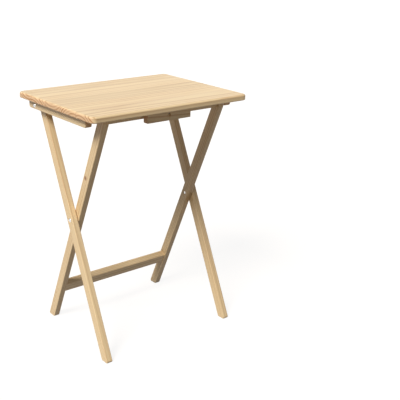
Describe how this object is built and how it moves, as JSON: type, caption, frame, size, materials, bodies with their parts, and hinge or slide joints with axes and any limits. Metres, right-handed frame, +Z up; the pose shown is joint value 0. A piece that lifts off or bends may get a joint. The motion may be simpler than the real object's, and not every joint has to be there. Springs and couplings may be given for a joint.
{
  "type": "folding tray table",
  "caption": "Small wooden folding tray table: a flat rectangular top on crossed hinged legs that close flat when the top is lifted off its catch.",
  "frame": {"origin": "on the floor under the middle of the top", "axes": "+Z up, +X along the top's long side to the user's right, -Y towards the front, where the catch is"},
  "size_m": [0.483, 0.37, 0.66],
  "materials": {
    "top_pine": "clear satin lacquer on light pine",
    "leg_pine": "clear satin lacquer on light pine",
    "batten_pine": "clear satin lacquer on light pine",
    "catch_pine": "clear satin lacquer on light pine",
    "rail_pine": "clear satin lacquer on light pine",
    "dowel_wood": "clear satin lacquer on light pine",
    "bolt_steel": "bright zinc plate",
    "screw_steel": "dull zinc plate"
  },
  "bodies": {
    "outer_frame": {"left_outer_leg": "leg_pine", "left_middle_bolt": "bolt_steel", "left_middle_washer": "bolt_steel", "left_middle_nut": "bolt_steel", "left_top_bolt": "bolt_steel", "left_top_washer": "bolt_steel", "left_top_sleeve_nut": "bolt_steel", "right_outer_leg": "leg_pine", "right_middle_bolt": "bolt_steel", "right_middle_washer": "bolt_steel", "right_middle_nut": "bolt_steel", "right_top_bolt": "bolt_steel", "right_top_washer": "bolt_steel", "right_top_sleeve_nut": "bolt_steel"},
    "inner_frame": {"left_inner_leg": "leg_pine", "right_inner_leg": "leg_pine", "top_dowel": "dowel_wood", "low_rail": "rail_pine", "rail_pegs": "dowel_wood"},
    "tabletop": {"top_plank_1": "top_pine", "top_plank_2": "top_pine", "top_plank_3": "top_pine", "top_plank_4": "top_pine", "top_plank_5": "top_pine", "left_batten": "batten_pine", "right_batten": "batten_pine", "left_batten_screws": "screw_steel", "right_batten_screws": "screw_steel", "catch_block": "catch_pine", "catch_screws": "screw_steel"}
  },
  "joints": [
    {"name": "leg_fold", "type": "hinge", "parent": "outer_frame", "child": "inner_frame", "pos_m": [0, -0.007, 0.346], "axis": [-1, 0, 0], "range_deg": [0, 48.8]},
    {"name": "tabletop_lift", "type": "hinge", "parent": "outer_frame", "child": "tabletop", "pos_m": [0, 0.122, 0.6304], "axis": [-1, 0, 0], "range_deg": [0, 114.4]}
  ],
  "couplings": [
    {"joint": "tabletop_lift", "follows": "leg_fold", "ratio": 2.3443}
  ]
}
